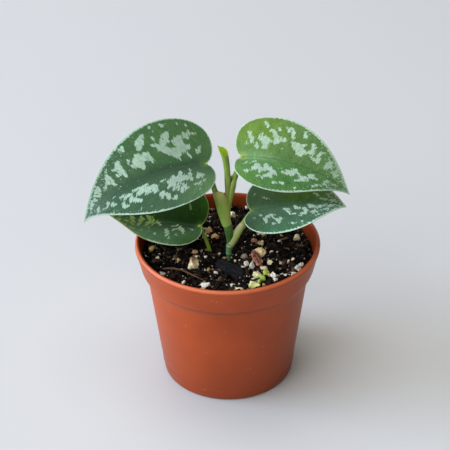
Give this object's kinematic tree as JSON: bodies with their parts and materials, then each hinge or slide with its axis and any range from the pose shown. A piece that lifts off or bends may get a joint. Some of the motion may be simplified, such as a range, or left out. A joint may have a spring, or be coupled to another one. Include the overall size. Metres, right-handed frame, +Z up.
{
  "type": "satin pothos",
  "caption": "Young satin pothos with heart-shaped silver-marked leaves, rooted in soil in a small round terracotta-coloured plastic nursery pot.",
  "frame": {"origin": "centre of the pot's foot, on the surface the pot stands on", "axes": "+Z up along the pot's axis, -Y towards the front, +X towards the upper right leaf"},
  "size_m": [0.0985, 0.07, 0.1025],
  "materials": {
    "pot_plastic": "satin",
    "potting_soil": "matte",
    "charcoal": "matte",
    "bark": "matte",
    "gravel": "matte",
    "stem_green": "satin",
    "petiole_green": "satin",
    "young_leaf": "satin",
    "leaf_satin": "satin"
  },
  "bodies": {
    "root": {"pot": "pot_plastic", "soil": "potting_soil", "charcoal_chip": "charcoal", "bark_chip": "bark", "gravel_left": "gravel", "gravel_right": "gravel", "twig": "bark", "stem": "stem_green", "petiole_upper_left": "petiole_green", "petiole_upper_right": "petiole_green", "petiole_lower_left": "petiole_green", "petiole_lower_right": "petiole_green", "new_leaf": "young_leaf", "leaf_upper_left": "leaf_satin", "leaf_upper_right": "leaf_satin", "leaf_lower_left": "leaf_satin", "leaf_lower_right": "leaf_satin"}
  },
  "joints": []
}
